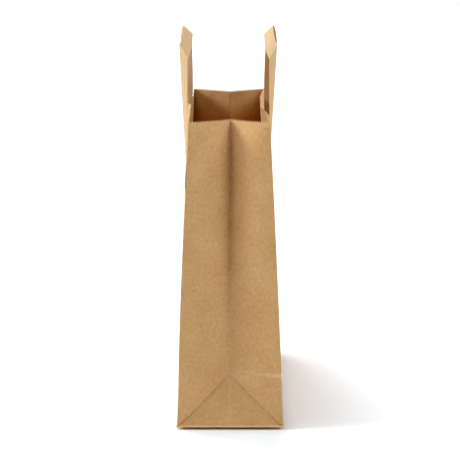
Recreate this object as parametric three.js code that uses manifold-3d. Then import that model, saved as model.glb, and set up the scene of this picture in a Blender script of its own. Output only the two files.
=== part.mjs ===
// A brown kraft paper carrier bag, standing open on its folded block bottom.
// It is one folded and pasted sheet with two flat paper-tape handles pasted to its outside.
// X runs from the back panel to the front panel, Y along the broad panels and Z up, in millimetres.
// The origin lies on the table, under the middle of the base.
import * as THREE from 'three';
import { mergeVertices } from 'three/addons/utils/BufferGeometryUtils.js';
import Module from 'manifold-3d';

// Sheet
const paper = 0.3; // wall of the sheet
const panelWidth = 260; // broad panel, from corner to corner
const gussetWidth = 121; // side gusset at the base, from corner to corner
const bagHeight = 350.4; // table to rim, at the corners
const pinchBack = 15.75; // rim of the back panel, drawn in over its foot
const pinchFront = 17.85; // rim of the front panel, drawn in over its foot
const mouthSkew = 0.6; // far end of the mouth, moved towards the back
const cornerHold = 8; // power of the curve that holds a panel flat at its corners

// Gusset folds, drawn in at the two ends of the bag
const nearFoldDepth = 34; // how far the near fold lies behind its corners at the rim
const farFoldDepth = 27; // the same at the far end
const nearFoldDrop = 2.2; // the near fold leans in and ends this much below its corners
const wingCurl = 1.3; // power of the curve from a corner to its fold, where 1 is straight
const farCurl = 1; // the same at the far rim
const notchShare = 0.25; // part of the near fold's depth that is a narrow notch along the fold
const notchCurl = 8; // power of the curve of that notch
const notchRun = 45; // height above the tip over which the notch begins
const tipDepth = 15; // tip of the base triangle behind its corners
const tipSlack = 1.1; // the triangle is pressed this much taller than half the gusset

// Base
const footLift = 1.4; // foot of the walls above the table, as the border of the base curls up
const footReach = 14; // width of that border
const lipHeight = 2.4; // rolled edge along the foot of the walls
const lipProud = 0.5; // how far that edge rolls out
const lipWidest = 0.5; // share of its height where it rolls out most
const flapInset = 16; // pasted flaps stay this far inside the foot of the walls
const flapOverlap = 12; // a long flap ends this far past the middle of the base
const endFlapReach = 30; // length of the end flaps, on the floor

// Crease round the front half, where the base was folded flat against the front panel
const creaseNotch = 1; // how far it nips the front panel in
const creaseLedge = 0.6; // how far it stands out of the gussets
const creaseBand = 3; // height over which the ledge runs out

// Seam of the tube, on the back panel
const seamFromCorner = 24; // edge of the upper layer from the far corner
const seamOverlap = 15; // width of the pasted overlap

// Broad panels, one pulled out by its handle and one sunk in at the mouth
const backSwell = 4; // back panel below the handle's feet
const swellHeight = 186; // height where it has swollen to that
const backRimSwell = 0.9; // back panel at the rim
const swellReach = 80; // half the width of the swelling
const kinkOut = 3.6; // stretch of the back rim that a kink pulls further out
const kinkNear = -9; // where that stretch begins and ends along the rim
const kinkFar = 61;
const kinkRamp = 16; // run of the paper into and out of it
const kinkHeight = 130; // how far below the rim it begins
const frontDip = 7.7; // front panel at the rim
const dipCentre = 17; // middle of the dip, towards the far end
const dipFlat = 38; // half the width at full depth
const dipRamp = 65; // run from there to the flat panel
const dipHeight = 110; // how far below the rim the dip begins

// Handles
const tapeWidth = 16;
const tapeThickness = 0.6; // folded tape, several plies
const clearance = 0.3; // paste line between the tape and the panel
const legPitch = 101; // middle to middle of a handle's legs
const footBelowRim = 89; // lower end of the legs
const pastedLength = 25; // stretch of each leg that is pasted down
const mitreAboveRim = 68.4; // middle of the diagonal fold at the top of a leg
const farMitreDrop = 7; // the far diagonal fold sits this much lower
const nearTwist = 37; // degrees that a leg has turned at its diagonal fold
const farTwist = 57;
const nearSag = 0.5; // outer edge of a leg, hanging in from the straight line at its middle
const farSag = 2.1;
const backStand = 7.25; // legs of the back handle outside the rim, at the diagonal fold
const frontStand = 5.85; // legs of the front handle, the same
const crestAboveRim = 86.2; // middle of the grip
const crestIn = 4.2; // middle of the grip, inside the tops of the legs
const crestWidth = 13.4; // tape at the middle of the grip, narrower where the hand crowned it
const crestTilt = 43; // degrees, the grip leans over with its outer edge up
const gripArch = 1.6; // power of the curve in which the grip comes down to its folds
const nearSweep = 4.5; // power of the curve in which the grip moves out to its near fold
const farSweep = 1.1; // the same for its far fold

// Fineness of the facets
const gussetSteps = 8; // columns in half a gusset, and rows in the base triangle
const wallRows = 10; // rows from the crease to the rim
const innerSteps = 3; // columns on half a panel, between its legs
const legColumns = 2; // columns behind a leg
const outerSteps = 5; // columns from a leg to the corner
const clearSteps = 8; // places across a tape where its gap to the panel is taken
const pastedSteps = 2;
const legSteps = 10;
const gripSteps = 14;

const { lerp, smoothstep, degToRad } = THREE.MathUtils;
const halfWidth = panelWidth / 2;
const halfTape = tapeWidth / 2;
const halfGusset = gussetWidth / 2;
const handleFoot = bagHeight - footBelowRim;
const lipTop = footLift + lipHeight;
const tipHeight = footLift + Math.sqrt((halfGusset + tipSlack) ** 2 - tipDepth ** 2);
const mouthBack = halfGusset - pinchBack;
const mouthFront = halfGusset - pinchFront;
const baseHeight = 2 * paper;
const floorHeight = 3 * paper;
const sunk = paper / 2; // layers that are pasted together share this much
const back = -1;
const front = 1;
const near = -1;
const far = 1;

// Distance of a flat broad panel from the middle of the bag, at a height.
function panelDistance(side, height) {
  const mouth = side === back ? mouthBack : mouthFront;
  return lerp(halfGusset, mouth, height / bagHeight);
}

// Sideways lean of the walls, from nothing at the near end to its most at the far end of the mouth.
function leanAt(y, height) {
  return -mouthSkew * (y / panelWidth + 0.5) * (height / bagHeight);
}

// Back panel: it swells up to the handle's feet, in a smooth hump across its middle, and is less
// swollen at the rim, apart from a stretch that a kink pulls out.
function swellAt(y, height) {
  const across = Math.min(Math.abs(y) / swellReach, 1);
  const hump = Math.cos((across * Math.PI) / 2) ** 2;
  const below = backSwell * smoothstep(height, tipHeight, swellHeight);
  const above = lerp(backSwell, backRimSwell, (height - handleFoot) / footBelowRim);
  const kink = smoothstep(y, kinkNear, kinkNear + kinkRamp) - smoothstep(y, kinkFar - kinkRamp, kinkFar);
  const pulled = kinkOut * kink * smoothstep(height, bagHeight - kinkHeight, bagHeight);
  return hump * (height < handleFoot ? below : above) + pulled;
}

// Front panel: its middle sinks in towards the rim.
function dipAt(y, height) {
  const across = smoothstep(dipFlat + dipRamp - Math.abs(y - dipCentre), 0, dipRamp);
  return frontDip * across * smoothstep(height, bagHeight - dipHeight, bagHeight);
}

// Outside of a broad panel, signed. The corners hold it, so nothing moves there.
function panelOutside(side, y, height) {
  const free = 1 - (y / halfWidth) ** cornerHold;
  const shift = side === back ? swellAt(y, height) : -dipAt(y, height);
  return side * (panelDistance(side, height) + free * shift) + leanAt(y, height);
}

// Rows of the walls from the foot to the rim. tuck runs from 0 to 1 up the base triangle.
function wallRowList() {
  const rows = [
    { height: footLift, out: -lipProud, tuck: 0 },
    { height: lerp(footLift, lipTop, lipWidest), out: lipProud, tuck: 0 },
  ];
  for (let step = 0; step <= gussetSteps; step += 1) {
    const tuck = step / gussetSteps;
    rows.push({ height: lerp(lipTop, tipHeight, tuck), out: 0, tuck, crease: step === gussetSteps });
  }
  for (let step = 0; step <= wallRows; step += 1) {
    const height = lerp(tipHeight + creaseBand, bagHeight, step / wallRows);
    rows.push({ height, out: 0, rise: (height - tipHeight) / (bagHeight - tipHeight) });
  }
  return rows;
}

// Point on a gusset. column counts from the corner at 0 to the fold at gussetSteps.
// Below the tip the section is the base triangle with a slanting wing beside it, and the grid's
// diagonal is the fold between them. Above the tip it is a V, with a narrow notch at the near fold.
function gussetPoint(end, side, column, row) {
  const corner = panelDistance(side, row.height);
  const foldDepth = end === near ? nearFoldDepth : farFoldDepth;
  let x;
  let depth;
  let drop = 0;
  if (row.rise === undefined) {
    const diagonal = row.tuck * gussetSteps;
    const triangleHalf = corner * (1 - row.tuck);
    if (column > diagonal) {
      x = (triangleHalf * (gussetSteps - column)) / (gussetSteps - diagonal);
      depth = tipDepth * row.tuck;
    } else {
      const wing = diagonal > 0 ? column / diagonal : 0;
      x = lerp(corner, triangleHalf, wing);
      depth = tipDepth * row.tuck * wing ** wingCurl;
    }
  } else {
    const inward = column / gussetSteps;
    const rimCurl = end === near ? wingCurl : farCurl;
    const notch = end === near ? notchShare * smoothstep(row.height, tipHeight, tipHeight + notchRun) : 0;
    const curl = lerp(inward ** lerp(wingCurl, rimCurl, row.rise), inward ** notchCurl, notch);
    x = corner * (1 - inward);
    depth = lerp(tipDepth, foldDepth, row.rise) * curl;
    drop = end === near ? nearFoldDrop * row.rise * curl : 0;
  }
  const atCorner = column === 0;
  const creased = row.crease && side === front;
  const nip = creased && atCorner ? creaseNotch : 0;
  const ledge = creased && !atCorner && column < gussetSteps ? creaseLedge : 0;
  const y = end * (halfWidth - depth + row.out + ledge);
  return new THREE.Vector3(
    side * (x + (atCorner ? row.out : 0) - nip) + leanAt(y, row.height),
    y,
    row.height - drop,
  );
}

function panelPoint(side, y, row) {
  const nip = row.crease && side === front ? creaseNotch : 0;
  return new THREE.Vector3(panelOutside(side, y, row.height) + side * (row.out - nip), y, row.height);
}

// Columns across a broad panel between its corners, set by the legs of the handle.
function panelColumns() {
  const legInner = legPitch / 2 - halfTape;
  const legOuter = legPitch / 2 + halfTape;
  const half = [];
  for (let step = 1; step <= innerSteps; step += 1) half.push((legInner * step) / innerSteps);
  for (let step = 1; step <= legColumns; step += 1) half.push(lerp(legInner, legOuter, step / legColumns));
  for (let step = 1; step < outerSteps; step += 1) half.push(lerp(legOuter, halfWidth, step / outerSteps));
  return [...half.map((y) => -y).reverse(), 0, ...half];
}

// One closed section of the walls, anticlockwise from the near corner of the back panel.
// turned marks the columns whose facets are split along the other diagonal.
function wallSection(row) {
  const columns = panelColumns();
  const points = [];
  const addGusset = (end, firstSide) => {
    for (let column = 0; column <= gussetSteps; column += 1) {
      points.push({ at: gussetPoint(end, firstSide, column, row), turned: column === gussetSteps });
    }
    for (let column = gussetSteps - 1; column >= 0; column -= 1) {
      points.push({ at: gussetPoint(end, -firstSide, column, row), turned: column > 0 });
    }
  };
  addGusset(near, back);
  columns.forEach((y) => points.push({ at: panelPoint(front, y, row) }));
  addGusset(far, front);
  columns.slice().reverse().forEach((y) => points.push({ at: panelPoint(back, y, row) }));
  return points;
}

// Section moved in by the wall of the sheet, mitred at each corner.
function insetSection(section, height) {
  return section.map(({ at }, index) => {
    const before = section.at(index - 1).at;
    const after = section[(index + 1) % section.length].at;
    const first = new THREE.Vector2(at.y - before.y, before.x - at.x).normalize();
    const second = new THREE.Vector2(after.y - at.y, at.x - after.x).normalize();
    const mitre = first.clone().add(second).multiplyScalar(paper / (1 + first.dot(second)));
    return new THREE.Vector3(at.x - mitre.x, at.y - mitre.y, height ?? at.z);
  });
}

// Solid mesh from points and triangles that share them.
function geometryFrom(points, triangles) {
  const geometry = new THREE.BufferGeometry();
  geometry.setAttribute('position', new THREE.Float32BufferAttribute(points.flatMap((p) => p.toArray()), 3));
  geometry.setIndex(triangles.flat());
  return geometry;
}

// Flat part of the base inside the border that curls up to the foot of the walls.
function flatRing(ring, height) {
  const narrow = 1 - footReach / halfGusset;
  const short = 1 - footReach / halfWidth;
  return ring.map((point) => new THREE.Vector3(point.x * narrow, point.y * short, height));
}

// Walls and floor of the bag: an outer skin, an inner skin, a rim between them,
// and the flat underside and floor, each a fan inside its curled-up border.
function shellGeometry() {
  const rows = wallRowList();
  const sections = rows.map(wallSection);
  const count = sections[0].length;
  const points = [];
  const triangles = [];
  const addRing = (ring) => points.push(...ring) - ring.length;
  const joinRings = (lower, upper, outward) => {
    for (let column = 0; column < count; column += 1) {
      const next = (column + 1) % count;
      const corners = [lower + column, lower + next, upper + next, upper + column];
      const split = sections[0][column].turned ? [0, 1, 3, 1, 2, 3] : [0, 1, 2, 0, 2, 3];
      const faces = [split.slice(0, 3), split.slice(3)].map((face) => face.map((spot) => corners[spot]));
      triangles.push(...faces.map((face) => (outward ? face : face.reverse())));
    }
  };
  const fan = (ring, height, outward) => {
    const middle = points.push(new THREE.Vector3(0, 0, height)) - 1;
    for (let column = 0; column < count; column += 1) {
      const face = [middle, ring + column, ring + ((column + 1) % count)];
      triangles.push(outward ? face : face.reverse());
    }
  };
  const outerRings = sections.map((section) => section.map(({ at }) => at));
  outerRings.unshift(flatRing(outerRings[0], baseHeight));
  const wallSections = sections.filter((section, index) => rows[index].out === 0);
  const innerRings = wallSections.map((section) => insetSection(section));
  innerRings.unshift(insetSection(wallSections[0], footLift + paper));
  innerRings.unshift(flatRing(innerRings[0], floorHeight));
  const outer = outerRings.map(addRing);
  const inner = innerRings.map(addRing);
  for (let row = 1; row < outer.length; row += 1) joinRings(outer[row - 1], outer[row], true);
  for (let row = 1; row < inner.length; row += 1) joinRings(inner[row - 1], inner[row], false);
  fan(outer[0], baseHeight, false);
  fan(inner[0], floorHeight, true);
  joinRings(outer.at(-1), inner.at(-1), true);
  return geometryFrom(points, triangles);
}

// Pasted bottom flap: a trapezium from near the foot of one panel to just past the middle of the base.
function flapGeometry(side, underside) {
  const foot = halfGusset - flapInset;
  const longHalf = halfWidth - flapInset;
  const shortHalf = longHalf - foot - flapOverlap;
  const outline = new THREE.Shape([
    new THREE.Vector2(side * foot, -longHalf),
    new THREE.Vector2(side * foot, longHalf),
    new THREE.Vector2(-side * flapOverlap, shortHalf),
    new THREE.Vector2(-side * flapOverlap, -shortHalf),
  ]);
  const depth = baseHeight + sunk - underside;
  return new THREE.ExtrudeGeometry(outline, { depth, bevelEnabled: false }).translate(0, 0, underside);
}

// End flap: the foot of a gusset turned in on the floor, a trapezium with sides at 45 degrees.
function endFlapGeometry(end) {
  const foot = halfWidth - flapInset;
  const longHalf = halfGusset - flapInset;
  const outline = new THREE.Shape([
    new THREE.Vector2(-longHalf, end * foot),
    new THREE.Vector2(longHalf, end * foot),
    new THREE.Vector2(longHalf - endFlapReach, end * (foot - endFlapReach)),
    new THREE.Vector2(endFlapReach - longHalf, end * (foot - endFlapReach)),
  ]);
  const underside = floorHeight - sunk;
  const depth = paper + sunk;
  return new THREE.ExtrudeGeometry(outline, { depth, bevelEnabled: false }).translate(0, 0, underside);
}

// Lengthwise seam: the edge of the upper layer stands one sheet proud and fades out across the overlap.
function seamGeometry() {
  const rows = wallRowList().filter((row) => row.out === 0);
  const edge = halfWidth - seamFromCorner;
  const points = [];
  const triangles = [];
  rows.forEach((row) => {
    const lower = panelPoint(back, edge, row);
    const upper = panelPoint(back, edge + seamOverlap, row);
    points.push(lower.clone().setX(lower.x + sunk), lower.clone().setX(lower.x - paper));
    points.push(upper.clone().setX(upper.x + sunk));
  });
  for (let row = 1; row < rows.length; row += 1) {
    const lower = 3 * (row - 1);
    const upper = 3 * row;
    for (let corner = 0; corner < 3; corner += 1) {
      const next = (corner + 1) % 3;
      triangles.push([lower + corner, upper + next, lower + next]);
      triangles.push([lower + corner, upper + corner, upper + next]);
    }
  }
  const top = 3 * (rows.length - 1);
  triangles.push([0, 1, 2], [top, top + 2, top + 1]);
  return geometryFrom(points, triangles);
}

// Edges of one leg where it leaves the panel, and the ends of its diagonal fold.
// The outer edge is the one away from the other leg.
function legFrame(side, end) {
  const rim = side === back ? mouthBack + backStand : mouthFront + frontStand;
  const twist = degToRad(end === near ? nearTwist : farTwist);
  const mitreHeight = bagHeight + mitreAboveRim - (end === far ? farMitreDrop : 0);
  const sag = end === near ? nearSag : farSag;
  const pasted = (edge, height) => {
    const y = end * (legPitch / 2 + edge * halfTape);
    return new THREE.Vector3(panelOutside(side, y, height), y, height);
  };
  const mitre = (edge) => new THREE.Vector3(
    side * (rim - edge * halfTape * Math.sin(twist)),
    end * (legPitch / 2 + edge * halfTape * Math.cos(twist)),
    mitreHeight - edge * halfTape,
  );
  const free = (edge, share) => {
    const point = pasted(edge, handleFoot + pastedLength).lerp(mitre(edge), share);
    point.x -= side * sag * ((1 + edge) / 2) * 4 * share * (1 - share);
    return point;
  };
  return { pasted, free, mitre };
}

// Pair of points on a tape's edges, moved out together until the tape clears the panel behind it.
function clearOfPanel(side, pair) {
  let move = 0;
  for (let step = 0; step <= clearSteps; step += 1) {
    const point = pair[0].clone().lerp(pair[1], step / clearSteps);
    const gap = side * (point.x - panelOutside(side, point.y, Math.min(point.z, bagHeight)));
    move = Math.max(move, clearance + tapeThickness / 2 - gap);
  }
  return pair.map((point) => point.setX(point.x + side * move));
}

// Stations of a tape from the foot of its near leg over the grip to the foot of its far leg.
// Each is the pair of points on the tape's two edges.
function tapeStations(side) {
  const edges = [1, -1];
  const legStations = (end) => {
    const { pasted, free } = legFrame(side, end);
    const stations = [];
    for (let step = 0; step <= pastedSteps; step += 1) {
      const height = handleFoot + (pastedLength * step) / pastedSteps;
      stations.push(clearOfPanel(side, edges.map((edge) => pasted(edge, height))));
    }
    for (let step = 1; step <= legSteps; step += 1) {
      stations.push(clearOfPanel(side, edges.map((edge) => free(edge, step / legSteps))));
    }
    return stations;
  };
  const stand = side === back ? mouthBack + backStand : mouthFront + frontStand;
  const tilt = degToRad(crestTilt);
  const crest = (edge) => new THREE.Vector3(
    side * (stand - crestIn - (edge * crestWidth * Math.cos(tilt)) / 2),
    0,
    bagHeight + crestAboveRim - (edge * crestWidth * Math.sin(tilt)) / 2,
  );
  const gripStations = [];
  for (let step = 1; step < gripSteps; step += 1) {
    const along = (2 * step) / gripSteps - 1;
    const { mitre } = legFrame(side, along < 0 ? near : far);
    const sweep = along < 0 ? nearSweep : farSweep;
    const reach = Math.abs(along);
    gripStations.push(edges.map((edge) => {
      const top = crest(edge);
      const corner = mitre(edge);
      return new THREE.Vector3(
        lerp(top.x, corner.x, reach ** sweep),
        corner.y * reach,
        lerp(top.z, corner.z, reach ** gripArch),
      );
    }));
  }
  return [...legStations(near), ...gripStations, ...legStations(far).reverse()];
}

// Tape of even thickness on a list of stations. At a sharp fold the two faces meet on their mitre.
// Both faces are split along the same diagonal, so that a twisted stretch keeps its thickness.
function tapeGeometry(side) {
  const stations = tapeStations(side);
  const points = [];
  const triangles = [];
  const faceNormal = (from, to) => {
    const across = new THREE.Vector3().subVectors(from[1], from[0]).add(to[1]).sub(to[0]);
    const along = new THREE.Vector3().addVectors(to[0], to[1]).sub(from[0]).sub(from[1]);
    return along.cross(across).normalize();
  };
  stations.forEach((station, index) => {
    const before = stations[Math.max(index - 1, 0)];
    const after = stations[Math.min(index + 1, stations.length - 1)];
    const first = faceNormal(before === station ? station : before, before === station ? after : station);
    const second = faceNormal(after === station ? before : station, after === station ? station : after);
    const mitre = first.clone().add(second).multiplyScalar(tapeThickness / 2 / (1 + first.dot(second)));
    const [outer, inner] = station;
    points.push(outer.clone().add(mitre), inner.clone().add(mitre));
    points.push(inner.clone().sub(mitre), outer.clone().sub(mitre));
  });
  for (let station = 1; station < stations.length; station += 1) {
    const lower = 4 * (station - 1);
    const upper = 4 * station;
    for (let corner = 0; corner < 4; corner += 1) {
      const next = (corner + 1) % 4;
      const quad = [lower + corner, upper + corner, upper + next, lower + next];
      const split = corner < 2 ? [[0, 1, 2], [0, 2, 3]] : [[0, 1, 3], [1, 2, 3]];
      triangles.push(...split.map((face) => face.map((spot) => quad[spot])));
    }
  }
  const last = 4 * (stations.length - 1);
  triangles.push([0, 1, 2], [0, 2, 3], [last, last + 2, last + 1], [last, last + 3, last + 2]);
  return geometryFrom(points, triangles);
}

// Solids joined into one.
const wasm = await Module();
wasm.setup();

function solidFrom(geometry) {
  const bare = geometry.clone();
  bare.deleteAttribute('normal');
  bare.deleteAttribute('uv');
  const merged = mergeVertices(bare);
  const vertProperties = new Float32Array(merged.attributes.position.array);
  const triVerts = new Uint32Array(merged.index.array);
  return new wasm.Manifold(new wasm.Mesh({ numProp: 3, vertProperties, triVerts }));
}

function joinedGeometry(geometries) {
  const whole = geometries.map(solidFrom).reduce((sum, solid) => sum.add(solid));
  const { vertProperties, triVerts } = whole.getMesh();
  const geometry = new THREE.BufferGeometry();
  geometry.setAttribute('position', new THREE.Float32BufferAttribute(vertProperties, 3));
  geometry.setIndex(new THREE.Uint32BufferAttribute(triVerts, 1));
  return geometry;
}

// Folded sheet
function bagBody() {
  return joinedGeometry([
    shellGeometry(),
    flapGeometry(front, 0),
    flapGeometry(back, paper),
    endFlapGeometry(near),
    endFlapGeometry(far),
    seamGeometry(),
  ]);
}

const kraft = new THREE.MeshStandardMaterial({ color: 0xc29b69, roughness: 0.85, metalness: 0 });
const tape = new THREE.MeshStandardMaterial({ color: 0xd2ae7c, roughness: 0.8, metalness: 0 });

function part(name, geometry, material) {
  geometry.computeVertexNormals();
  const mesh = new THREE.Mesh(geometry, material);
  mesh.name = name;
  return mesh;
}

const carrierBag = new THREE.Group();
carrierBag.add(part('bag_body', bagBody(), kraft));
carrierBag.add(part('back_handle', tapeGeometry(back), tape));
carrierBag.add(part('front_handle', tapeGeometry(front), tape));

export default carrierBag;
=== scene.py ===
import math

import bpy
import numpy as np
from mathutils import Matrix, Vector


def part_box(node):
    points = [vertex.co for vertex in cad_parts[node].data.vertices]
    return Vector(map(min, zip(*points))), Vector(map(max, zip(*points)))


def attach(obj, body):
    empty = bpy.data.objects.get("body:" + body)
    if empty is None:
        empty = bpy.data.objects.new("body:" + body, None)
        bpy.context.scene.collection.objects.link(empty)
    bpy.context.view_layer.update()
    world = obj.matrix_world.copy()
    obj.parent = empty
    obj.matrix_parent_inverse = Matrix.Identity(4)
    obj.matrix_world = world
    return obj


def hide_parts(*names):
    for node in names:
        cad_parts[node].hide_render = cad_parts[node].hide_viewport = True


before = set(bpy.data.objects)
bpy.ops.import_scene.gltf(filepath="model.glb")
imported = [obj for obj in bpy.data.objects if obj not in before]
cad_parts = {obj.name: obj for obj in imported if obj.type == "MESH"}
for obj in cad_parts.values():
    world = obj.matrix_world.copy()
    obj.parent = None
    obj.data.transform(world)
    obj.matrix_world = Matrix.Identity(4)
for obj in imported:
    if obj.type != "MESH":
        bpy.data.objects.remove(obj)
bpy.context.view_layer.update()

# Folded sheet
# One length of unbleached kraft paper, pasted into a tube, with two side gussets and a block bottom.
# It was pressed flat in the making and then opened and stood up, so its two ends stay drawn in along
# the gusset folds, the creases of the flat bag still show, and the rim keeps the saw cut of the web.
MM = 0.001  # in metres, for sizes that are all in mm
sheet_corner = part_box("bag_body")[1]  # high corner of the box of the solid sheet
paper = 0.3

# The foot is a rolled lip over a border of the base that curls up from the table.
lip_proud = 0.5  # lip beyond the walls
lip_height = 2.4
lip_lean = 0.13  # wall at the height of the lip, drawn in from its foot
lip_groove = 0.35  # groove over the lip
groove_up = 0.6
groove_reach = 0.5
ear_proud = 1.0  # corners of the lip, standing out further
ear_reach = 2.6
base_lift = 0.6  # base above the table, on two pasted layers
foot_lift = 2.8  # foot of the walls above the table
foot_reach = 14.0  # width of the border

# The walls lean in from the base to the mouth.
half_width = sheet_corner.y / MM - lip_proud
half_base = sheet_corner.x / MM - lip_proud + lip_lean
rim_height = sheet_corner.z / MM
back_draw = 15.75  # mouth drawn in from the base, at the back
front_draw = 17.85  # and at the front
mouth_back = half_base - back_draw
mouth_front = half_base - front_draw
mouth_skew = 0.6  # far end of the mouth, moved towards the back
far_rise = 1.0  # far end of the rim above the near end
back_bow = 1.4  # corners of the back panel, bowed out at about half their height
back_bow_run = 250.0
front_bow = 0.5  # corners of the front panel, the same
front_bow_run = 300.0
bow_start = 40.0
front_tuck = 0.35  # foot of the front panel, drawn in below its press line
tuck_blend = 15.0

# The gussets fold in at both ends, deepest at the rim.
near_fold_depth = 36.0  # gusset fold at the rim, behind the corners
far_fold_depth = 27.0
near_fold_drop = 2.8  # near fold at the rim, below the corners
wing_curl = 1.3  # power of the curve from a corner to its fold, where 1 is straight
far_curl = 1.0  # the same at the far rim
notch_left = 0.45  # part of the near fold's depth that is a notch, on the left of the fold
notch_right = 0.74
notch_curl_left = 7.0  # power of the notch, where a high one is narrow
notch_curl_right = 2.7
notch_run = 180.0  # height over which the notch begins above the tip
notch_fade = 24.0  # and over which it opens towards the rim
rim_notch = 0.45  # part of it that is left at the rim
rim_fold_aside = 0.8  # near fold at the rim, right of the middle
tip_fold_aside = -1.1  # and at the tip of the base triangle

# Below the tip of its fold, each gusset lies nearly flat in a base triangle.
tip_depth = 15.0  # tip of the base triangle, behind the corners
tip_slack = 0.5  # paper let out up the base triangle
tip_height = foot_lift + math.sqrt((half_base + tip_slack) ** 2 - tip_depth**2)
valley_left = 0.9  # pressed valley along the sides of the base triangle
valley_right = 0.6
valley_reach = 1.3
valley_start = 0.05  # share of the way up to the tip over which it comes in
tip_ease = 0.6  # part of it lost towards the tip
tip_ease_start = 0.5  # from this share of the way up
corner_valley = 1.0  # part added towards the corners of the foot
corner_valley_reach = 0.2  # over about this share of the way up

# The back panel swells and kinks where its handle pulls, and the front panel is sunk in at the rim.
foot_below_rim = 89.0  # lower ends of the handles
handle_foot = rim_height - foot_below_rim
back_swell = 4.0  # back panel below the feet of its handle
back_rim_swell = 0.9  # and at the rim
swell_start = 15.0  # heights between which it comes in
swell_stop = 165.0
swell_reach = 80.0  # half its width
foot_bulge = 1.1  # more of it behind the foot of the near leg
bulge_place = -50.0
bulge_up = 10.0
bulge_length = 30.0
bulge_height = 34.0
kink_out = 3.6  # kink at the rim
kink_near = (-9.0, 7.0)  # places along the panel between which it comes in
kink_far = (38.0, 61.0)  # and between which it goes
kink_height = 130.0
front_dip = 7.7  # front panel sunk in at the rim
dip_centre = 17.0
dip_flat = 38.0  # half the length over which it is whole
dip_ramp = 65.0
dip_height = 110.0
dip_ease = 1.4  # less of it beyond the middle of the panel
ease_near = (-12.0, 15.0)  # places between which that comes in
ease_far = (95.0, 65.0)  # and between which it goes
corner_hold = 8  # power that holds all of these to nothing at the corners

# A press line goes round the front half, at the height of the folded base, and a seam runs up the back.
crease_up = 62.6
crease_notch = 1.3  # notch that the line makes in the corners and the panel
crease_reach = 3.0
crease_fade = 0.2  # share of the way to the gusset's fold over which it fades
crease_ledge = 0.9  # ledge under the line on the gussets
crease_run = 14.0
ledge_edge = 1.2  # the ledge is whole this far under the line, and gone as far over it
ledge_turn = 1.0  # it starts to fall this far under the line
ledge_end = 0.9  # share of the way to the gusset's fold from which it fades
ledge_even = 0.75  # share of it that is even
ledge_long = 5.3  # lengths, for a radian, of the two waves in which the rest comes and goes
ledge_short = 2.9
ledge_phase = 1.0
seam_from_corner = 24.0  # edge of the pasted seam, from the far corner
seam_overlap = 15.0
seam_step = 0.3  # width over which that edge rises, before the sheet is rounded

# Folding and damp leave slow waves in the sheet, and a fold turns over a small width.
ripple = 0.22
ripple_waves = (  # times round the bag, height of one wave, share of the size, and phase
    (9, 113.0, 1.0, 0.4),
    (19, -71.0, 0.8, 1.7),
    (31, 43.0, 0.6, 2.9),
)
ripple_start = 4.0  # heights between which they come in over the foot
ripple_stop = 40.0
fold_round = 0.8  # half the width over which a fold turns
fold_samples = 9
fold_taper = 0.9  # weight lost from the middle of that width to its ends
tiny = 1e-6  # share or length that counts as nothing

# Whole teeth of the saw cut fit on each panel and gusset.
panel_teeth = 77
gusset_teeth = 36
tooth_parts = 3  # columns of points in a tooth of a gusset
tooth = 2 * half_width / panel_teeth
tooth_depth = 2.8
gusset = gusset_teeth * tooth
half_gusset = gusset / 2
panel = 2 * half_width
turn = 2 * (gusset + panel)
tip_up = math.hypot(tip_height - foot_lift, tip_depth)  # tip of the triangle, up the flat sheet
sheet_height = tip_up + rim_height - tip_height


def smooth(value, start, stop):
    """Smooth step from 0 at start to 1 at stop: the cubic 3 t squared minus 2 t cubed."""
    share = np.clip((value - start) / (stop - start), 0, 1)
    return share * share * (3 - 2 * share)


def bow(side, height):
    """Outward bow of the corners: half a sine wave over most of the height."""
    run = np.where(side < 0, back_bow_run, front_bow_run)
    wave = np.sin(math.pi * np.clip((height - bow_start) / run, 0, 1))
    return np.where(side < 0, back_bow, front_bow) * wave


def panel_distance(side, height):
    """Distance of a panel's corners from the middle: straight from the half base to the mouth, plus an
    outward bow in half a sine wave, less the tuck at the foot of the front."""
    mouth = np.where(side < 0, mouth_back, mouth_front)
    straight = half_base + (mouth - half_base) * height / rim_height
    tucked = smooth(height, tip_height + tuck_blend, tip_height - tuck_blend)
    return straight + bow(side, height) - np.where(side < 0, 0, front_tuck) * tucked


def lean(y, height):
    """Sideways lean of the walls: nothing at the near end, and the mouth's skew at the far end of the
    rim."""
    return -mouth_skew * (y / panel + 0.5) * height / rim_height


def panel_outside(side, y, height):
    """Outside of a broad panel: its flat distance, plus the back's swelling in a squared cosine across
    the middle, a bulge in a bell curve and a kink near the rim, or less the front's dip with straight
    ramps. All are held to nothing at the corners by a high power of y."""
    hump = np.cos(np.minimum(np.abs(y) / swell_reach, 1) * math.pi / 2) ** 2
    rising = back_swell * smooth(height, swell_start, swell_stop)
    above = np.clip((height - handle_foot) / (rim_height - handle_foot), 0, 1)
    swelling = hump * (rising - bow(side, height) + (back_rim_swell - back_swell) * above)
    kink = smooth(y, *kink_near) - smooth(y, *kink_far)
    swelling = swelling + kink_out * kink * smooth(height, rim_height - kink_height, rim_height)
    from_bulge = (y - bulge_place) / bulge_length
    over_bulge = (height - handle_foot - bulge_up) / bulge_height
    swelling = swelling + foot_bulge * np.exp(-(from_bulge**2 + over_bulge**2))
    across = np.clip((dip_flat + dip_ramp - np.abs(y - dip_centre)) / dip_ramp, 0, 1)
    sunk = front_dip * across - dip_ease * smooth(y, *ease_near) * smooth(y, *ease_far)
    dip = sunk * smooth(height, rim_height - dip_height, rim_height)
    free = 1 - np.abs(y / half_width) ** corner_hold
    distance = panel_distance(side, height) + free * np.where(side < 0, swelling, -dip)
    return side * distance + lean(y, height)


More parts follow.
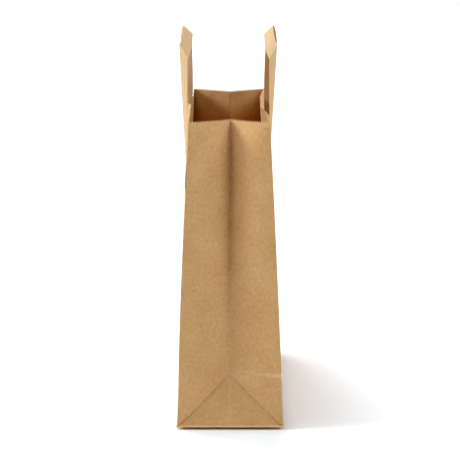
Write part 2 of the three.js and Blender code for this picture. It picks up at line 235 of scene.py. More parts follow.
def folded_sheet(around, up):
    """Sharply folded sheet, from the distance round the bag and the height up the flat paper, in mm.
    On a gusset x falls in a straight line from the corner to the fold. Its depth is the smaller of the
    two slopes of the base triangle below the tip, and above it a V that deepens to the rim, part of it in
    powers of the way from the corner that make a notch at the near fold. Below the foot the paper turns
    under the base. Small profiles add the lip, the press line, the seam and slow sine waves."""
    # On which end or panel each point is, on which side, and how far from its corner
    around = around % turn
    far_end = (around >= gusset + panel) & (around < 2 * gusset + panel)
    on_gusset = (around < gusset) | far_end
    end = np.where(far_end, 1.0, -1.0)
    along_gusset = np.where(far_end, around - gusset - panel, around)
    side = np.where((along_gusset < half_gusset) ^ far_end, -1.0, 1.0)
    side = np.where(on_gusset, side, np.where(around < gusset + panel, 1.0, -1.0))
    from_corner = np.clip(np.minimum(along_gusset, gusset - along_gusset), 0, half_gusset)
    y_panel = np.where(side > 0, around - gusset - half_width, turn - half_width - around)

    # How deep a gusset lies behind its corners
    above_tip = np.maximum((up - tip_up) / (sheet_height - tip_up), 0)
    to_tip = np.clip(up / tip_up, 0, 1)
    height = foot_lift + to_tip * (tip_height - foot_lift) + above_tip * (rim_height - tip_height)
    corner = panel_distance(side, height)
    inward = from_corner / half_gusset
    fold_depth = np.where(far_end, far_fold_depth, near_fold_depth)
    rim_curl = np.where(far_end, far_curl, wing_curl)
    opened = rim_notch + (1 - rim_notch) * smooth(rim_height - height, 0, notch_fade)
    notch = np.where(side < 0, notch_left, notch_right) * smooth(height, tip_height, tip_height + notch_run)
    narrow = np.where(far_end, 0, notch * opened)
    notch_curl = np.where(side < 0, notch_curl_left, notch_curl_right)
    curl = (1 - narrow) * inward ** (wing_curl + (rim_curl - wing_curl) * above_tip)
    curl = curl + narrow * inward**notch_curl
    on_wing = np.minimum(inward / np.maximum(to_tip, tiny), 1)
    at_corner = np.exp(-((to_tip / corner_valley_reach) ** 2))
    from_valley = (inward - to_tip) * half_gusset / valley_reach
    pressed_in = np.where(side < 0, valley_left, valley_right) * np.exp(-(from_valley**2))
    pressed_in = pressed_in * (1 + corner_valley * at_corner - tip_ease * smooth(to_tip, tip_ease_start, 1))
    base_depth = tip_depth * to_tip * on_wing**wing_curl + pressed_in * smooth(to_tip, 0, valley_start)
    rising_depth = (tip_depth + (fold_depth - tip_depth) * above_tip) * curl
    depth = np.where(up < tip_up, base_depth, rising_depth)

    # Small profiles: lip, press line, slow waves and seam
    corner_gap = np.where(on_gusset, from_corner, half_width - np.abs(y_panel))
    lip = np.sin(math.pi * np.sqrt(np.clip(up / lip_height, 0, 1))) ** 2
    out = lip * (lip_proud + ear_proud * np.exp(-((corner_gap / ear_reach) ** 2)))
    from_groove = (up - lip_height - groove_up) / groove_reach
    out = out - lip_groove * np.exp(-(from_groove**2)) + np.minimum(up, 0)
    uneven = np.sin(around / ledge_long) * np.sin(around / ledge_short + ledge_phase)
    ledge = crease_ledge * (ledge_even + (1 - ledge_even) * uneven)
    ledge = ledge * smooth(up, crease_up - crease_run, crease_up - ledge_edge)
    ledge = ledge * smooth(up, crease_up + ledge_edge, crease_up - ledge_turn)
    ledge = np.where(on_gusset & (side > 0), ledge * smooth(inward, 1, ledge_end), 0)
    nip = np.where(side > 0, crease_notch, 0) * np.exp(-(((up - crease_up) / crease_reach) ** 2))
    slack = np.sin(math.pi * np.where(on_gusset, inward, corner_gap / panel))
    wave = ripple * slack * smooth(up, ripple_start, ripple_stop) * sum(
        share * np.sin(2 * math.pi * (times * around / turn + up / rise) + phase)
        for times, rise, share, phase in ripple_waves)
    past_seam = y_panel - half_width + seam_from_corner
    seam = np.clip(past_seam / seam_step, 0, 1) * np.clip(1 - past_seam / seam_overlap, 0, 1)
    seam = np.where(side < 0, paper * seam, 0)

    # Gussets and panels put together
    gusset_y = end * (half_width - depth + out + wave + ledge)
    panel_x = panel_outside(side, y_panel, height) + side * (out + wave - nip + seam)
    hem = 1 + np.minimum(up, 0) / half_base
    gusset_x = corner * (1 - inward) * hem - nip * smooth(inward, crease_fade, 0)
    gusset_x = side * gusset_x + lean(gusset_y, height)
    aside = to_tip * (tip_fold_aside + (rim_fold_aside - tip_fold_aside) * above_tip)
    gusset_x = gusset_x + np.where(far_end, 0, aside * inward)
    x = np.where(on_gusset, gusset_x, panel_x)
    x = x + np.where(on_gusset & (from_corner < tiny), side * (out - np.minimum(up, 0)), 0)
    y = np.where(on_gusset, gusset_y, y_panel * (1 + np.minimum(up, 0) / half_width))
    z = height + (base_lift - foot_lift) * smooth(-up, 0, foot_reach)
    z = z + far_rise * (y / panel + 0.5) * above_tip
    z = z - np.where(on_gusset & (end < 0), near_fold_drop * above_tip * curl, 0)
    return np.stack([x, y, z], axis=-1)


def soft_sheet(around, up):
    """Sheet with its folds rounded: the sharp sheet averaged over a small window round the bag."""
    shifts = np.linspace(-1, 1, fold_samples)
    weights = 1 - fold_taper * np.abs(shifts)
    weights = weights / np.sum(weights)
    return sum(w * folded_sheet(around + fold_round * s, up) for s, w in zip(shifts, weights))


def outward(surface, first, second):
    """Unit normals of a surface of two parameters, from the cross product of its small steps in each."""
    step = 0.05
    along_first = surface(first + step, second) - surface(first - step, second)
    along_second = surface(first, second + step) - surface(first, second - step)
    normal = np.cross(along_first, along_second)
    return normal / np.linalg.norm(normal, axis=-1, keepdims=True)


def paper_piece(name, points, face_sets, wear, painted_shade):
    """Mesh piece at the origin from points in mm. A face set is an array of point numbers with the flat
    place, in mm on the uncut paper, of each face corner. The last two arrays give, for each point, the
    share of paler worn paper and the share of painted shade."""
    mesh = bpy.data.meshes.new(name)
    faces = [face for numbers, _ in face_sets for face in numbers.tolist()]
    mesh.from_pydata((points * MM).tolist(), [], faces)
    flat = np.concatenate([places.reshape(-1, 2) for _, places in face_sets]) * MM
    mesh.uv_layers.new(name="flat_paper").data.foreach_set("uv", flat.ravel())
    mesh.attributes.new("wear", "FLOAT", "POINT").data.foreach_set("value", wear)
    mesh.attributes.new("painted_shade", "FLOAT", "POINT").data.foreach_set("value", painted_shade)
    sharp_turn = math.radians(38)  # least turn of the paper that shows as an edge
    mesh.shade_smooth()
    mesh.set_sharp_from_angle(angle=sharp_turn)
    piece = bpy.data.objects.new(name, mesh)
    bpy.context.scene.collection.objects.link(piece)
    return piece


def linear(code):
    """Linear colour with alpha from an sRGB hex code."""
    shares = [int(code[spot:spot + 2], 16) / 255 for spot in (1, 3, 5)]
    return [s / 12.92 if s <= 0.04045 else ((s + 0.055) / 1.055) ** 2.4 for s in shares] + [1.0]


def add_node(tree, kind, inputs=None, **settings):
    """Adds a shader node with its settings. An input is set to a value, or linked where it is a socket."""
    node = tree.nodes.new(kind)
    for name, value in settings.items():
        setattr(node, name, value)
    for name, value in (inputs or {}).items():
        if isinstance(value, bpy.types.NodeSocket):
            tree.links.new(value, node.inputs[name])
        else:
            node.inputs[name].default_value = value
    return node


def kraft_paper(name, dark, light, worn, fibre_length, painted_shade_tint):
    """Unbleached kraft paper: long brown fibres laid down wet and pressed, with no coating. It gives a matt
    brown with cloudy formation a few millimetres wide, fine lengthwise fibres, and paler broken fibres
    where the paper has been cut or creased. The last colour is a tint of painted shade, laid on by a point
    attribute: darker and browner deep in the bag, standing in for light that comes there by way of brown
    walls, and on one face of the front tape, for the shade on its far leg. The fibres are drawn coarser
    than the real ones, to show."""
    cloud_size = 4.0
    cloud_share = 0.55
    broad_size = 38.0
    broad_share = 0.25
    fibre_width = 0.9
    fibre_share = 0.20
    dark_formation = 0.3  # level of the three together at which the paper is darkest
    light_formation = 0.7  # and at which it is lightest
    relief = 0.25  # height of the fibres
    relief_share = 0.35  # and how much of it shows
    material = bpy.data.materials.new(name)
    material.use_nodes = True
    tree = material.node_tree
    shader = tree.nodes["Principled BSDF"]
    shader.inputs["Specular IOR Level"].default_value = 0.1
    shader.inputs["Roughness"].default_value = 0.88
    flat = add_node(tree, "ShaderNodeUVMap", uv_map="flat_paper").outputs["UV"]
    cloud = add_node(tree, "ShaderNodeTexNoise", {
        "Vector": flat, "Scale": 1 / (cloud_size * MM), "Detail": 5.0, "Roughness": 0.8})
    broad = add_node(tree, "ShaderNodeTexNoise", {
        "Vector": flat, "Scale": 1 / (broad_size * MM), "Detail": 2.0, "Roughness": 0.5})
    stretched = add_node(tree, "ShaderNodeMapping", {
        "Vector": flat, "Scale": (1 / (fibre_width * MM), 1 / (fibre_length * MM), 1.0)})
    fibre = add_node(tree, "ShaderNodeTexNoise", {
        "Vector": stretched.outputs["Vector"], "Scale": 1.0, "Detail": 3.0, "Distortion": 1.2})
    clouds = add_node(tree, "ShaderNodeMath", {
        0: cloud.outputs["Fac"], 1: cloud_share}, operation="MULTIPLY")
    clouds_and_broad = add_node(tree, "ShaderNodeMath", {
        0: broad.outputs["Fac"], 1: broad_share, 2: clouds.outputs["Value"]}, operation="MULTIPLY_ADD")
    formation = add_node(tree, "ShaderNodeMath", {
        0: fibre.outputs["Fac"], 1: fibre_share, 2: clouds_and_broad.outputs["Value"]},
        operation="MULTIPLY_ADD")
    tone = add_node(tree, "ShaderNodeMapRange", {
        "Value": formation.outputs["Value"], "From Min": dark_formation, "From Max": light_formation})
    sheet_tone = add_node(tree, "ShaderNodeMix", {
        "Factor": tone.outputs["Result"], "A": linear(dark), "B": linear(light)}, data_type="RGBA")
    wear = add_node(tree, "ShaderNodeAttribute", attribute_name="wear").outputs["Fac"]
    broken = add_node(tree, "ShaderNodeMath", {0: wear, 1: cloud.outputs["Fac"]}, operation="MULTIPLY")
    paint = add_node(tree, "ShaderNodeMix", {
        "Factor": broken.outputs["Value"], "A": sheet_tone.outputs["Result"], "B": linear(worn)},
        data_type="RGBA")
    # Painted shade: the tint multiplied in by the share held in the point attribute
    painted_shade = add_node(tree, "ShaderNodeAttribute", attribute_name="painted_shade").outputs["Fac"]
    with_painted_shade = add_node(tree, "ShaderNodeMix", {
        "Factor": painted_shade, "A": paint.outputs["Result"], "B": linear(painted_shade_tint)},
        data_type="RGBA", blend_type="MULTIPLY")
    tree.links.new(with_painted_shade.outputs["Result"], shader.inputs["Base Color"])
    bump = add_node(tree, "ShaderNodeBump", {
        "Height": formation.outputs["Value"], "Strength": relief_share, "Distance": relief * MM})
    tree.links.new(bump.outputs["Normal"], shader.inputs["Normal"])
    return material


def sheet_columns():
    """Places round the bag, a third of a tooth apart on a gusset, two teeth on a panel, and closer beside
    a fold or the seam."""
    folds = np.cumsum([0, half_gusset, half_gusset, panel, half_gusset, half_gusset])
    on_gusset = np.arange(tooth_parts * gusset_teeth) * tooth / tooth_parts
    on_panel = gusset + np.arange(0, panel_teeth, 2) * tooth
    far_side = gusset + panel
    regular = np.concatenate([on_gusset, on_panel, on_gusset + far_side, on_panel + far_side])
    beside = np.array([-1.2, -0.7, -0.3, 0.3, 0.7, 1.2])
    seam = turn - panel + seam_from_corner
    close = (np.append(folds, seam)[:, None] + beside) % turn
    return np.unique(np.round(np.concatenate([regular, close.ravel()]), 4))


def sheet_rows():
    """Heights up the flat sheet, close at the foot, the press line and the rim. Those of the base triangles
    meet their sloping sides at the columns."""
    under_base = np.array([1, 0.7, 0.45, 0.2, 0.1, 0.03])
    over_lip = 3.6
    lip_rows = 10
    crease_rows = 9
    wall_rows = 58
    top_rows = 3
    half_columns = tooth_parts * gusset_teeth // 2
    first_row = 4
    crease_end = crease_up + 4
    wall_start = crease_up + 8
    wall_end = sheet_height - 12
    top_start = sheet_height - 9
    top_end = sheet_height - 2.5
    return np.concatenate([
        -foot_reach * under_base,
        np.linspace(0, over_lip, lip_rows),
        tip_up * np.arange(first_row, half_columns) / half_columns,
        np.linspace(tip_up, crease_end, crease_rows),
        np.linspace(wall_start, wall_end, wall_rows),
        np.linspace(top_start, top_end, top_rows),
    ])


def sheet_wear(around, up):
    """Paler broken fibres: along the rim, the rolled foot, the press line round the front half, and the
    middle crease of each base triangle. Each is a bell curve of the distance from its line."""
    rim_wear = 0.7
    rim_width = 2.0
    foot_wear = 0.5
    foot_up = 1.3
    foot_width = 1.2
    middle_wear = 0.45
    middle_width = 0.5
    middle_stop = tip_up + 1  # heights round the tip between which it fades
    middle_fade = tip_up - 2
    press_wear = 0.15
    press_corner_wear = 0.45  # more of it towards the corners of the front panel
    press_corner_reach = 0.8 * half_gusset
    press_up = crease_up + 1.2
    press_width = 2.2
    press_fade = 8.0
    far_fold = panel + 3 * half_gusset
    rim = np.exp(-(((sheet_height + tooth_depth / 2 - up) / rim_width) ** 2))
    foot = np.exp(-(((up - foot_up) / foot_width) ** 2))
    to_fold = np.minimum(np.abs(around - half_gusset), np.abs(around - far_fold))
    middle = np.exp(-((to_fold / middle_width) ** 2)) * smooth(up, middle_stop, middle_fade)
    in_front = smooth(around, half_gusset, half_gusset + press_fade)
    in_front = in_front * smooth(around, far_fold, far_fold - press_fade)
    to_panel = np.minimum(np.abs(around - gusset), np.abs(around - gusset - panel))
    at_press = press_wear + press_corner_wear * smooth(to_panel, press_corner_reach, 0)
    press = at_press * np.exp(-(((up - press_up) / press_width) ** 2)) * in_front
    return np.clip(rim_wear * rim + foot_wear * foot + middle_wear * middle + press, 0, 1)


columns = sheet_columns()
rows = sheet_rows()
count = len(columns)
column_ends = np.append(columns, turn)
next_column = (np.arange(count) + 1) % count
grid_around, grid_up = np.meshgrid(columns, rows)
outer_skin = soft_sheet(grid_around, grid_up)
inner_skin = outer_skin - paper * outward(soft_sheet, grid_around, grid_up)
inside_rows = np.flatnonzero(rows > lip_height)
floor_height = base_lift + paper
floor_ring = inner_skin[inside_rows[0]].copy()
floor_ring[:, :2] *= 1 - foot_reach / half_base
floor_ring[:, 2] = floor_height
inner_skin = np.concatenate([floor_ring[None], inner_skin[inside_rows]])
inner_up = np.concatenate([[0.0], rows[inside_rows]])
shade_start = 12.0  # depths below the rim between which painted shade comes in on the inner skin, for light that comes there by way of brown walls
shade_stop = 46.0

cuts = 4  # rim points in each column
rim_around = (columns[:, None] + np.diff(column_ends)[:, None] * np.arange(cuts) / cuts).ravel()
rim_ends = np.append(rim_around, turn)
saw = 1 - np.abs(2 * (rim_around / tooth % 1) - 1)
rim_up = sheet_height + tooth_depth * (0.5 - saw)
rim_outer = soft_sheet(rim_around, rim_up)
rim_inner = rim_outer - paper * outward(soft_sheet, rim_around, rim_up)


def skin_faces(first, up, flip):
    """Quads of a skin, row by row round the bag, with their flat places. flip turns them to face inwards.
    On the second half of a gusset they are split the other way, along the falling side of its triangle."""
    ring = first + count * np.arange(len(up) - 1)[:, None]
    here = ring + np.arange(count)
    there = ring + next_column
    numbers = np.stack([here, there, there + count, here + count], axis=-1).reshape(-1, 4)
    left, low = np.meshgrid(column_ends[:-1], up[:-1])
    right, high = np.meshgrid(column_ends[1:], up[1:])
    places = np.stack([left, low, right, low, right, high, left, high], axis=-1).reshape(-1, 4, 2)
    on_half = columns % (gusset + panel)
    falling = np.tile((on_half >= half_gusset) & (on_half < gusset), len(up) - 1)
    numbers[falling] = np.roll(numbers[falling], 1, axis=1)
    places[falling] = np.roll(places[falling], 1, axis=1)
    if flip:
        numbers = np.roll(numbers[:, ::-1], 1, axis=1)
        places = np.roll(places[:, ::-1], 1, axis=1)
    return numbers, places


def rim_faces(last_ring, first_rim, up, flip):
    """One face for each column from the last ring of a skin to the saw-cut rim above it."""
    top = np.arange(count)[:, None] * cuts + np.arange(cuts, -1, -1)
    numbers = np.column_stack([
        last_ring + np.arange(count), last_ring + next_column, first_rim + top % (count * cuts)])
    low = np.full((count, 1), up)
    lower = np.stack([column_ends[:-1, None], low, column_ends[1:, None], low], axis=-1).reshape(count, 2, 2)
    upper = np.stack([rim_ends[top], np.append(rim_up, rim_up[0])[top]], axis=-1)
    places = np.concatenate([lower, upper], axis=1)
    return (numbers[:, ::-1], places[:, ::-1]) if flip else (numbers, places)


def fan_faces(ring, middle, points, flip):
    """Triangles from a ring to the point in its middle, with their flat places taken from above."""
    numbers = np.column_stack([np.full(count, middle), ring + np.arange(count), ring + next_column])
    numbers = numbers[:, ::-1] if flip else numbers
    return numbers, points[numbers][..., :2]


def slab(outline, low, high):
    """Closed sheet of paper from a flat outline, anticlockwise from above: two faces and four edges."""
    flat = np.array(outline, float)
    lower = np.column_stack([flat, np.full(len(flat), low)])
    upper = np.column_stack([flat, np.full(len(flat), high)])
    here = np.arange(len(flat))
    there = np.roll(here, -1)
    sides = np.column_stack([here, there, there + len(flat), here + len(flat)])
    numbers = np.concatenate([here[::-1][None], (here + len(flat))[None], sides])
    return np.concatenate([lower, upper]), numbers


def base_flap(side, low, high):
    """Long bottom flap: a trapezium with its corners cut at 45 degrees, just past the middle."""
    foot = half_base - foot_reach
    long_half = half_width - foot_reach
    past_middle = 12
    short_half = long_half - foot - past_middle
    outline = [
        (foot, -long_half), (foot, long_half), (-past_middle, short_half), (-past_middle, -short_half)]
    return slab([(side * x, side * y) for x, y in outline], low, high)


def end_flap(end, low, high):
    """End flap on the floor: the gusset's end turned in, a trapezium with sides at 45 degrees."""
    inset = foot_reach + 2
    foot = half_width - inset
    long_half = half_base - inset
    reach = 30
    short_half = long_half - reach
    outline = [
        (-long_half, -foot), (long_half, -foot), (short_half, reach - foot), (-short_half, reach - foot)]
    return slab([(-end * x, -end * y) for x, y in outline], low, high)


slabs = [
    base_flap(1, 0.0, paper),
    base_flap(-1, paper, base_lift),
    end_flap(-1, floor_height, floor_height + paper),
    end_flap(1, floor_height, floor_height + paper),
]
middles = np.array([[0, 0, base_lift], [0, 0, floor_height]])
inner_start = outer_skin[..., 0].size
rim_start = inner_start + inner_skin[..., 0].size
middle_start = rim_start + 2 * len(rim_around)
sheet_points = np.concatenate([
    outer_skin.reshape(-1, 3), inner_skin.reshape(-1, 3), rim_outer, rim_inner, middles])
rim_numbers = np.arange(len(rim_around))
rim_next = np.roll(rim_numbers, -1)
rim_top = rim_start + np.column_stack([
    rim_numbers, rim_next, rim_next + len(rim_around), rim_numbers + len(rim_around)])
rim_places = np.stack([rim_ends[:-1], rim_ends[1:], rim_ends[1:], rim_ends[:-1]], axis=-1)
rim_places = np.stack([rim_places, np.full(rim_places.shape, sheet_height)], axis=-1)
sheet_faces = [
    skin_faces(0, rows, False),
    skin_faces(inner_start, inner_up, True),
    rim_faces(inner_start - count, rim_start, rows[-1], False),
    rim_faces(rim_start - count, rim_start + len(rim_around), rows[-1], True),
    (rim_top, rim_places),
    fan_faces(0, middle_start, sheet_points, True),
    fan_faces(inner_start, middle_start + 1, sheet_points, False),
]
# Painted shade on the inner skin, growing with depth, and whole on the inner floor and its middle point
depth_shade = smooth(inner_up, sheet_height - shade_start, sheet_height - shade_stop)
painted_shade_points = np.zeros(len(sheet_points))
painted_shade_points[inner_start:rim_start] = np.repeat(depth_shade, count)
painted_shade_points[-1] = 1.0
wear = [
    sheet_wear(grid_around, grid_up).ravel(),
    sheet_wear(*np.meshgrid(columns, inner_up)).ravel() * (np.repeat(inner_up, count) > lip_height),
    np.tile(sheet_wear(rim_around, rim_up), 2),
    np.zeros(2),
]
for slab_points, slab_numbers in slabs:
    numbers = slab_numbers + len(sheet_points)
    sheet_points = np.concatenate([sheet_points, slab_points])
    sheet_faces.append((numbers, sheet_points[numbers][..., :2]))
    wear.append(np.zeros(len(slab_points)))

painted_shade_points = np.append(painted_shade_points, np.zeros(len(sheet_points) - len(painted_shade_points)))
bag_sheet = paper_piece("bag_sheet", sheet_points, sheet_faces, np.concatenate(wear), painted_shade_points)
# The last colour is the painted shade tint for deep in the bag
sheet_kraft = kraft_paper("brown_kraft_sheet", "#BB8D50", "#DFB98A", "#F2DDBA", 6.0, "#F6CE66")
bag_sheet.data.materials.append(sheet_kraft)
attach(bag_sheet, "root")
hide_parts("bag_body")

# Handles
# Two flat tapes of the same brown paper, each folded lengthwise into several plies. The feet are pasted to
# the outside of a broad panel, the legs twist as they rise, and a diagonal fold turns each into the grip.
half_tape = 8.0
tape_thickness = 0.6
paste_line = 0.3
leg_place = 50.5  # middle of a leg from the middle of the panel
pasted_length = 25.0
mitre_above_rim = 66.5  # middle of the diagonal fold at the top of a near leg
far_mitre_drop = 5.1  # those of the far legs sit this much lower
mitre_rise = 7.3  # half the height of a diagonal fold
back_near_twist = math.radians(37)  # turn of a leg at its diagonal fold
front_near_twist = math.radians(34)
far_twist = math.radians(58)
near_sag = 0.5  # outer edge of a leg, hanging in from the straight line at its middle
back_far_sag = 2.0
front_far_sag = 2.1
back_stand = 7.5  # tops of the near legs and of the crest, outside the rim
front_stand = 5.15
back_far_stand = 7.4  # tops of the far legs
front_far_stand = 5.8
leg_give = 3.0  # height over the rim for each mm that a leg may come in behind the panel's line
crest_above_rim = 86.4  # middle of the grip
crest_in = 4.2  # and how far in from the legs it leans
crest_tilt = math.radians(43)
crest_half = 7.1  # half the tape's width there, where it is a little crowned
near_sweep = 4.5  # power of the curve in which the grip moves out to its near fold
far_sweep = 0.8  # the same to its far fold
grip_arch = 1.6  # power of the curve in which it falls to its folds
grip_slack = 6.0  # half the grip's length, beyond the place of a leg
tape_round = 0.9  # half the length over which the diagonal fold turns
tape_samples = 7
ply_step = 0.14  # height of the edge of a ply
upper_ply = (0.1, 0.16)  # shares across the upper face, between which it steps down
lower_ply = (0.24, 0.3)  # and across the lower face, the other way
edge_thin = 0.3  # share of the thickness lost at the edges
edge_power = 20
edge_wear = 0.8
edge_wear_start = 0.9
fold_wear = 0.8
fold_wear_reach = 0.9
front_tape_shade = 1.0  # share of painted shade on the front tape's face that faces in on its legs, for the shade on its far leg
leg_length = rim_height + mitre_above_rim - handle_foot - pasted_length
grip_half = leg_place + grip_slack
tape_length = 2 * (pasted_length + leg_length + grip_half)


def tape_middle(side, along, across):
    """Middle of a tape's thickness, from the length along it in mm and the share across it from -1 to 1.
    The foot lies on the panel. A ruled strip rises to the diagonal fold, clear of the panel, and its outer
    edge sags in a parabola. The grip runs from the fold to the crest by powers of the distance."""
    end = np.where(along < tape_length / 2, -1.0, 1.0)
    climb = np.minimum(along, tape_length - along)
    stand = np.where(side < 0, mouth_back + back_stand, mouth_front + front_stand)
    further = np.where(side < 0, back_far_stand - back_stand, front_far_stand - front_stand)
    leg_stand = stand + np.where(end > 0, further, 0)
    near_twist = np.where(side < 0, back_near_twist, front_near_twist)
    twist = np.where(end < 0, near_twist, far_twist)
    fold = np.stack(np.broadcast_arrays(
        side * (leg_stand - across * half_tape * np.sin(twist)),
        end * (leg_place + across * half_tape * np.cos(twist)),
        rim_height + mitre_above_rim - np.where(end > 0, far_mitre_drop, 0) - across * mitre_rise), axis=-1)
    crest = np.stack(np.broadcast_arrays(
        side * (stand - crest_in - across * crest_half * math.cos(crest_tilt)),
        0 * end,
        rim_height + crest_above_rim - across * crest_half * math.sin(crest_tilt)), axis=-1)
    foot_y = end * (leg_place + across * half_tape)
    foot_z = handle_foot + np.minimum(climb, pasted_length)
    foot_x = panel_outside(side, foot_y, foot_z) + side * (paste_line + tape_thickness / 2)
    foot = np.stack(np.broadcast_arrays(foot_x, foot_y, foot_z), axis=-1)
    risen = np.clip((climb - pasted_length) / leg_length, 0, 1)[..., None]
    leg = foot + (fold - foot) * risen
    far_sag = np.where(side < 0, back_far_sag, front_far_sag)
    hang = np.where(end < 0, near_sag, far_sag) * (1 + across) / 2
    sagged = leg[..., 0] - side * hang * 4 * risen[..., 0] * (1 - risen[..., 0])
    behind = panel_outside(side, leg[..., 1], np.minimum(leg[..., 2], rim_height))
    over_rim = np.maximum(leg[..., 2] - rim_height, 0)
    behind = behind + side * (paste_line + tape_thickness / 2 - over_rim / leg_give)
    leg[..., 0] = side * np.maximum(side * sagged, side * behind)
    reach = np.clip((tape_length / 2 - climb) / grip_half, 0, 1)
    sweep = np.where(end < 0, near_sweep, far_sweep)
    powers = np.stack(np.broadcast_arrays(reach**sweep, reach, reach**grip_arch), axis=-1)
    grip = crest + (fold - crest) * powers
    on_grip = climb > pasted_length + leg_length
    return np.where(on_grip[..., None], grip, leg)


def tape_piece(name, side):
    """Closed tape: a thin ring of points, out across one face and back across the other, carried along
    the tape. A step lengthwise on each face shows the edge of a ply."""
    fold_near = pasted_length + leg_length
    crest = tape_length / 2
    close = np.array([-3, -2, -1.4, -0.9, -0.45, 0, 0.45, 0.9, 1.4, 2, 3])
    foot_rows = 8
    leg_rows = 36
    grip_rows = 18
    past_foot = pasted_length + 3
    before_fold = fold_near - 6
    past_fold = fold_near + 6
    half = np.concatenate([
        np.linspace(0, pasted_length, foot_rows), np.linspace(past_foot, before_fold, leg_rows),
        fold_near + close, np.linspace(past_fold, crest, grip_rows)])
    along = np.concatenate([half, tape_length - half[-2::-1]])
    across = np.array([
        -1, -0.97, -0.9, -0.7, -0.45, -lower_ply[1], -lower_ply[0],
        0, *upper_ply, 0.4, 0.7, 0.9, 0.97, 1])
    grid_along, grid_across = np.meshgrid(along, across, indexing="ij")
    shifts = np.linspace(-tape_round, tape_round, tape_samples)

    def middle(length, share):
        """Middle of the tape with its folds rounded: an average over a short length."""
        lengths = [np.clip(length + shift, 0, tape_length) for shift in shifts]
        return sum(tape_middle(side, shifted, share) for shifted in lengths) / len(shifts)

    normal = outward(middle, grid_along, grid_across)
    centre = middle(grid_along, grid_across)
    edge = 1 - edge_thin * np.abs(across) ** edge_power
    plus = (tape_thickness / 2 - ply_step * smooth(across, *upper_ply)) * edge
    minus = (tape_thickness / 2 - ply_step * smooth(-across, *lower_ply)) * edge
    upper = centre + normal * plus[:, None]
    lower = centre - normal * minus[:, None]
    ring = np.concatenate([upper, lower[:, ::-1]], axis=1)
    size = ring.shape[1]
    station = size * np.arange(len(along) - 1)[:, None]
    here = station + np.arange(size)
    there = station + (np.arange(size) + 1) % size
    numbers = np.stack([here, here + size, there + size, there], axis=-1).reshape(-1, 4)
    other_face = 3  # in half widths, so that the flat places of the two faces lie side by side
    spread = np.concatenate([across, across[::-1] + other_face]) * half_tape
    spread = np.append(spread, spread[-1] + tape_thickness)
    low, left = np.meshgrid(along[:-1], spread[:-1], indexing="ij")
    high, right = np.meshgrid(along[1:], spread[1:], indexing="ij")
    places = np.stack([left, low, left, high, right, high, right, low], axis=-1).reshape(-1, 4, 2)
    first = np.arange(size)[None]
    last = first[:, ::-1] + size * (len(along) - 1)
    cap_places = np.stack([spread[:-1], np.zeros(size)], axis=-1)[None]
    shares = np.abs(np.concatenate([across, across[::-1]]))
    to_fold = np.minimum(np.abs(along - fold_near), np.abs(tape_length - along - fold_near))
    wear = fold_wear * np.exp(-((to_fold[:, None] / fold_wear_reach) ** 2))
    wear = np.minimum(wear + edge_wear * smooth(shares, edge_wear_start, 1), 1).ravel()
    face_sets = [(numbers, places), (first, cap_places), (last, cap_places)]
    # Painted shade on one face of the front tape, along its whole length
    shaded_face = np.repeat([0.0, front_tape_shade if side > 0 else 0.0], len(across))
    return paper_piece(name, ring.reshape(-1, 3), face_sets, wear, np.tile(shaded_face, len(along)))


# The tape is drawn paler and less brown than the sheet, though it is the same paper: painted light, for how
# the paper looks where it is brightly lit. Its last colour is the painted shade tint for one face of the
# front tape.
tape_kraft = kraft_paper("brown_kraft_tape", "#C5A479", "#D9BD96", "#ECD8B7", 40.0, "#D0B692")
for handle, node, side in (("back_tape", "back_handle", -1.0), ("front_tape", "front_handle", 1.0)):
    tape = tape_piece(handle, side)
    tape.data.materials.append(tape_kraft)
    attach(tape, "root")
    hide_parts(node)

# Table
# A sweep of matt white studio paper, wide enough to fill the view, that takes the bag's soft shadow. To the
# camera it is drawn darker in a band in front of and behind the bag, as painted shade that shows a soft
# shadow in front of its foot, and whiter beside it.
table_half = 6000.0
shaded_front_white = (0.76, 0.80, 0.84, 1.0)  # to the camera alone, in front of and behind the bag: darker, as painted shade
side_white = (1.02, 1.08, 1.14, 1.0)  # and beside it, where the lamps' shadows have to stay pale
side_start = 45.0  # distances from the middle between which one turns into the other
side_stop = 80.0
corners = np.array([[-1, -1, 0], [1, -1, 0], [1, 1, 0], [-1, 1, 0]]) * table_half * MM
table_mesh = bpy.data.meshes.new("studio_table")
table_mesh.from_pydata(corners.tolist(), [], [(0, 1, 2, 3)])
table = bpy.data.objects.new("studio_table", table_mesh)
bpy.context.scene.collection.objects.link(table)
white_paper = bpy.data.materials.new("matt_white_paper")
white_paper.use_nodes = True
white_tree = white_paper.node_tree
white_shader = white_tree.nodes["Principled BSDF"]
view = add_node(white_tree, "ShaderNodeLightPath")
place = add_node(white_tree, "ShaderNodeTexCoord")
place = add_node(white_tree, "ShaderNodeSeparateXYZ", {"Vector": place.outputs["Object"]})
aside = add_node(white_tree, "ShaderNodeMath", {0: place.outputs["X"]}, operation="ABSOLUTE")
beside = add_node(white_tree, "ShaderNodeMapRange", {
    "Value": aside.outputs["Value"], "From Min": side_start * MM, "From Max": side_stop * MM},
    interpolation_type="SMOOTHSTEP")
seen_paper = add_node(white_tree, "ShaderNodeMix", {
    "Factor": beside.outputs["Result"], "A": shaded_front_white, "B": side_white}, data_type="RGBA")
white = add_node(white_tree, "ShaderNodeMix", {
    "Factor": view.outputs["Is Camera Ray"], "A": linear("#F9F8F7"), "B": seen_paper.outputs["Result"]},
    data_type="RGBA")
white_tree.links.new(white.outputs["Result"], white_shader.inputs["Base Color"])
white_shader.inputs["Roughness"].default_value = 0.95
white_shader.inputs["Specular IOR Level"].default_value = 0.0
table_mesh.materials.append(white_paper)

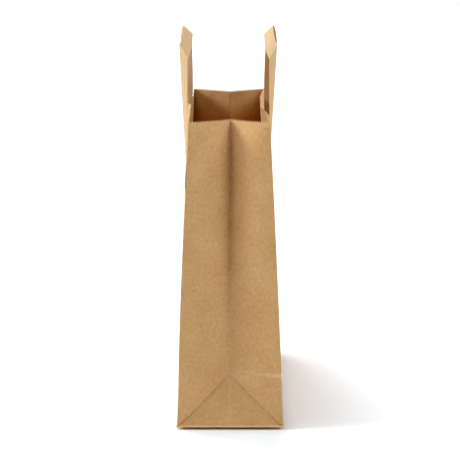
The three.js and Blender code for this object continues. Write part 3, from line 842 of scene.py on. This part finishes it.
# Studio light
# Two large soft lamps, on the right and behind, two smaller ones, high above and low on the left, and a
# dim room. A lamp stands at an azimuth, from the right of the bag round by its far end, and a height, both
# in degrees, and its light spreads over an angle. The room looks white but lights the bag only a little.
room_light = 0.03
lamps = {
    "top": {"azimuth": 186, "height": 77, "level": 0.42, "spread": 26},
    "right": {"azimuth": 354, "height": 44, "level": 0.58, "spread": 40},
    "behind": {"azimuth": 135, "height": 45, "level": 0.36, "spread": 40},
    "left": {"azimuth": 182, "height": 28, "level": 0.70, "spread": 24},
}
for name, lamp in lamps.items():
    light = bpy.data.lights.new(name, "SUN")
    light.energy = math.pi * lamp["level"]
    light.angle = math.radians(lamp["spread"])
    light_object = bpy.data.objects.new(name, light)
    light_object.rotation_euler = (0, math.radians(90 - lamp["height"]), math.radians(lamp["azimuth"]))
    bpy.context.scene.collection.objects.link(light_object)

room = bpy.data.worlds.new("white_room")
bpy.context.scene.world = room
room.use_nodes = True
room_tree = room.node_tree
room_shade = room_tree.nodes["Background"]
path = add_node(room_tree, "ShaderNodeLightPath")
seen = add_node(room_tree, "ShaderNodeMath", {
    0: path.outputs["Is Camera Ray"], 1: path.outputs["Is Glossy Ray"]}, operation="MAXIMUM")
seen = add_node(room_tree, "ShaderNodeMath", {
    0: seen.outputs["Value"], 1: path.outputs["Is Transmission Ray"]}, operation="MAXIMUM")
strength = add_node(room_tree, "ShaderNodeMapRange", {
    "Value": seen.outputs["Value"], "To Min": room_light, "To Max": 1.0})
room_tree.links.new(strength.outputs["Result"], room_shade.inputs["Strength"])
room_shade.inputs["Color"].default_value = (1.0, 1.0, 1.0, 1.0)

# Camera
# A long lens, looking down a little at the narrow end of the bag, from higher than its handles.
image_width = 460  # pixels of the photograph
focal_pixels = 1300.0
camera_gap = 1370.5  # from the near corners
camera_height = 575.4
camera_aside = -0.35
camera_pitch = 14.04
lens = bpy.data.cameras.new("camera")
lens.sensor_width = 36.0
lens.lens = lens.sensor_width * focal_pixels / image_width
lens.clip_end = 100.0
camera = bpy.data.objects.new("camera", lens)
camera.location = (camera_aside * MM, -(half_width + camera_gap) * MM, camera_height * MM)
camera.rotation_euler = (math.radians(90 - camera_pitch), 0, 0)
bpy.context.scene.collection.objects.link(camera)
bpy.context.scene.camera = camera
bpy.context.scene.view_settings.view_transform = "Standard"
